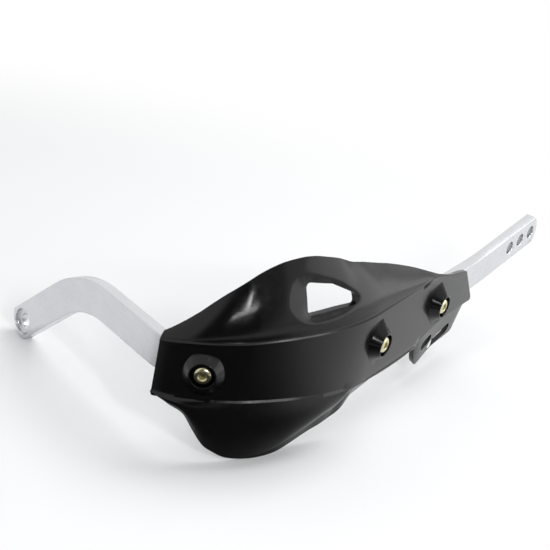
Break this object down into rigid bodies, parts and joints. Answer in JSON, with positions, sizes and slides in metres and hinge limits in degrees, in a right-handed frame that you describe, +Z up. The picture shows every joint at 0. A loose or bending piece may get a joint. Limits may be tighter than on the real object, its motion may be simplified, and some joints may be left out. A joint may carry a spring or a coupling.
{
  "type": "motorcycle hand guard",
  "caption": "One-piece black moulded hand shield with raised visor, air intake and deep skirt, screwed at three bosses to a bent flat aluminium bar with clamp holes.",
  "frame": {"origin": "centre of the handlebar-end bore on the bar's rear face, which seats on the handlebar's end", "axes": "+X along the handlebar from the end bore towards the inner clamp holes, +Y towards the rider, +Z up the width of the flat bar"},
  "size_m": [0.3648, 0.1689, 0.1166],
  "materials": {
    "bar_aluminium": "satin",
    "shield_plastic": "semi-gloss",
    "zinc_steel": "yellow zinc",
    "black_washer": "black oxide"
  },
  "bodies": {
    "root": {"bar": "bar_aluminium", "shield": "shield_plastic", "screw_outer": "zinc_steel", "screw_middle": "zinc_steel", "screw_inner": "zinc_steel", "washer_outer": "black_washer", "washer_middle": "black_washer", "washer_inner": "black_washer"}
  },
  "joints": []
}
